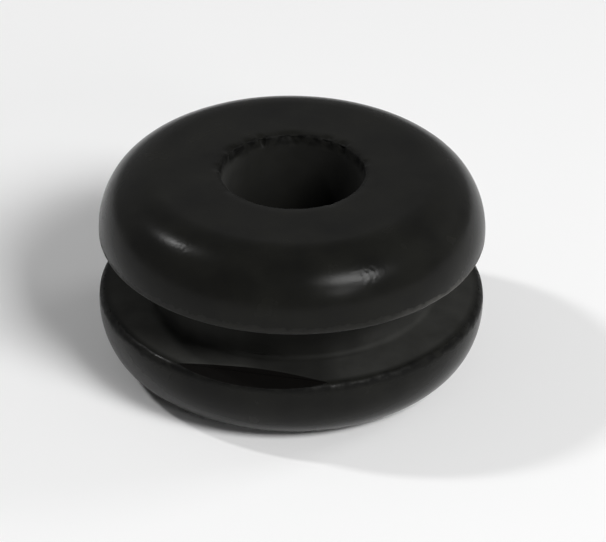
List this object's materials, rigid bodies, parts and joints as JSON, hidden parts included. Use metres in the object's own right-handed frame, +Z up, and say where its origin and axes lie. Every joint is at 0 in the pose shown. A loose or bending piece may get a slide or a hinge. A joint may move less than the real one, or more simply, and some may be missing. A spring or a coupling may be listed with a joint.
{
  "type": "rubber grommet",
  "caption": "Round black rubber grommet with two round-edged flanges, a groove between them for a panel's edge and a plain bore through the middle.",
  "frame": {"origin": "middle of the base, on the axis of the bore", "axes": "+Z up the bore, from the base flange to the top flange; the trimmed place on the base flange's lip faces about -Y"},
  "size_m": [0.022, 0.022, 0.0119],
  "materials": {
    "rubber": "matt moulded black rubber with a soft sheen on the round rims"
  },
  "bodies": {
    "root": {"grommet": "rubber"}
  },
  "joints": []
}
